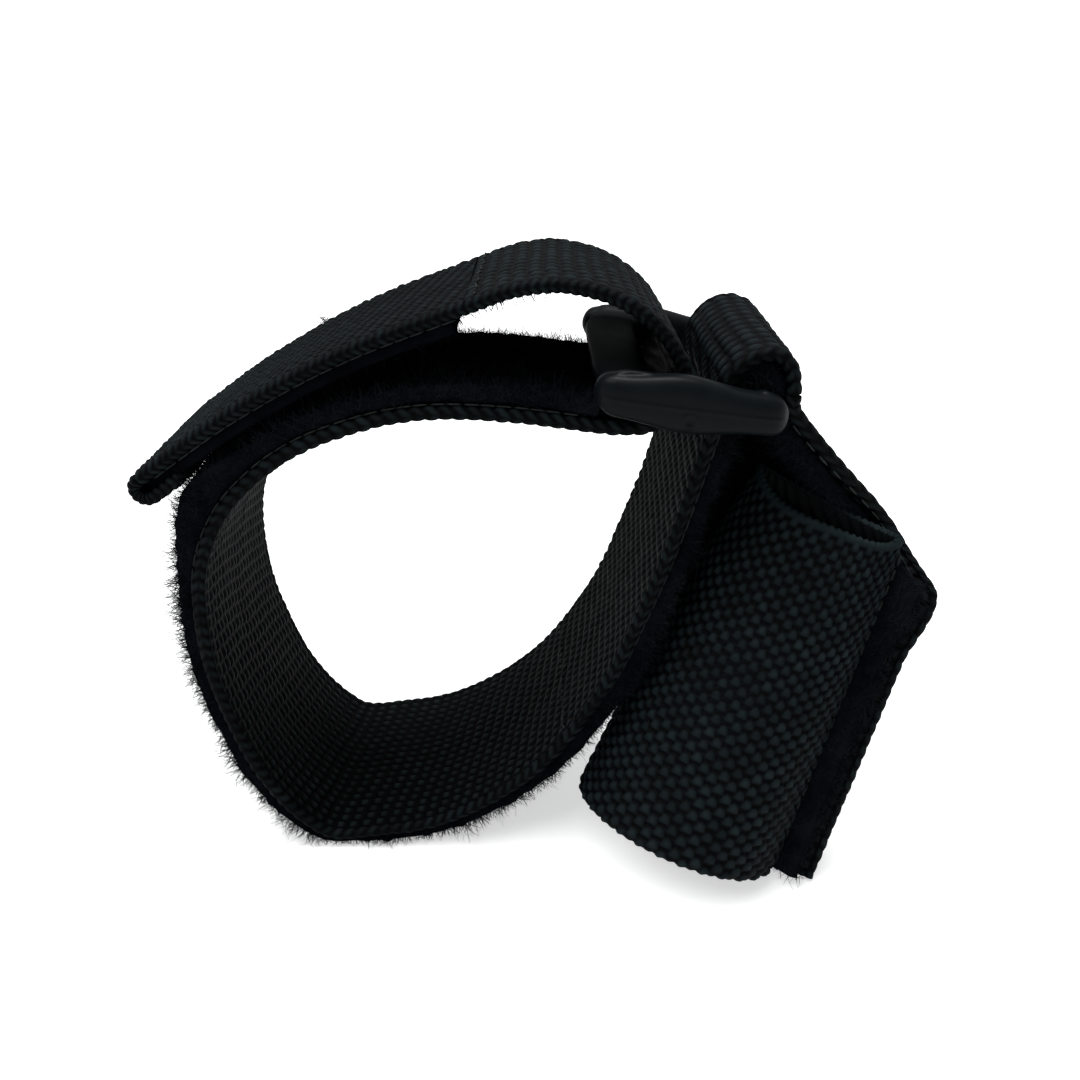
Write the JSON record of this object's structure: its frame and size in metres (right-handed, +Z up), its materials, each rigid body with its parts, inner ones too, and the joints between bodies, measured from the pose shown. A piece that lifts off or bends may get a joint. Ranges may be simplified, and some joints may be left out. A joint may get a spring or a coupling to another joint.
{
  "type": "hook-and-loop limb strap tourniquet",
  "caption": "Black hook-and-loop webbing limb strap with a plastic slide buckle, a folded-back closing tail and a hanging end with a webbing sleeve.",
  "frame": {"origin": "centre of the limb opening, midway across the strap's width", "axes": "+X from the loop towards the hanging end, +Y along the limb (away from the viewer), +Z up"},
  "size_m": [0.1248, 0.0599, 0.0993],
  "materials": {
    "webbing_black": "matte",
    "sleeve_weave": "matte",
    "pile_black": "matte",
    "hook_black": "matte",
    "thread": "matte",
    "buckle_plastic": "satin"
  },
  "bodies": {
    "loop": {"loop_webbing": "webbing_black", "loop_pile_tape": "pile_black", "loop_edge_stitching": "thread", "loop_cross_stitch": "thread"},
    "buckle": {"buckle_frame": "buckle_plastic"},
    "tail": {"tail_webbing": "webbing_black", "tail_cross_stitch": "thread"},
    "tab": {"tab_webbing": "webbing_black", "tab_hook_tape": "hook_black", "tab_edge_stitching": "thread", "tab_tip_hem": "webbing_black"},
    "leg": {"leg_webbing": "webbing_black", "leg_pile_tape": "pile_black", "leg_edge_stitching": "thread", "sleeve_webbing": "sleeve_weave", "sleeve_seam_stitching": "thread"}
  },
  "joints": [
    {"name": "buckle_rock", "type": "hinge", "parent": "loop", "child": "buckle", "pos_m": [0.0485, 0, 0.0395], "axis": [0, 1, 0], "range_deg": [-3, 8]},
    {"name": "tail_lift", "type": "hinge", "parent": "loop", "child": "tail", "pos_m": [0.0389, 0, 0.0412], "axis": [0, 1, 0], "range_deg": [0, 50]},
    {"name": "tab_peel", "type": "hinge", "parent": "tail", "child": "tab", "pos_m": [0.0061, 0, 0.054], "axis": [0, 1, 0], "range_deg": [0, 50]},
    {"name": "leg_swing", "type": "hinge", "parent": "loop", "child": "leg", "pos_m": [0.055, 0, 0.0405], "axis": [0, 1, 0], "range_deg": [-40, 1]}
  ]
}
